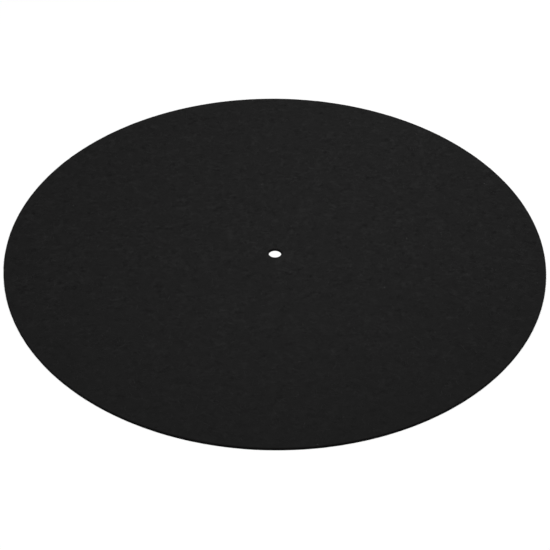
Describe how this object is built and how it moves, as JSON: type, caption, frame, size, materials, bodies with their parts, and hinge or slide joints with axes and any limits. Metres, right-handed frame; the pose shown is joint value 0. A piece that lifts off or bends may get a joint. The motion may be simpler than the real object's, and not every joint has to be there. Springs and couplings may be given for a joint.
{
  "type": "turntable platter mat",
  "caption": "Thin round black felt mat with a small central spindle hole, laid on a turntable platter to cushion and grip the record.",
  "frame": {"origin": "centre of the spindle hole, on the underside that lies on the platter", "axes": "+Z along the spindle's axis, up from the platter to the record; X and Y lie in the mat, and any turn about Z is the same"},
  "size_m": [0.3, 0.3, 0.0015],
  "materials": {
    "black_felt": "matte needled felt, dyed black"
  },
  "bodies": {
    "root": {"felt_mat": "black_felt"}
  },
  "joints": []
}
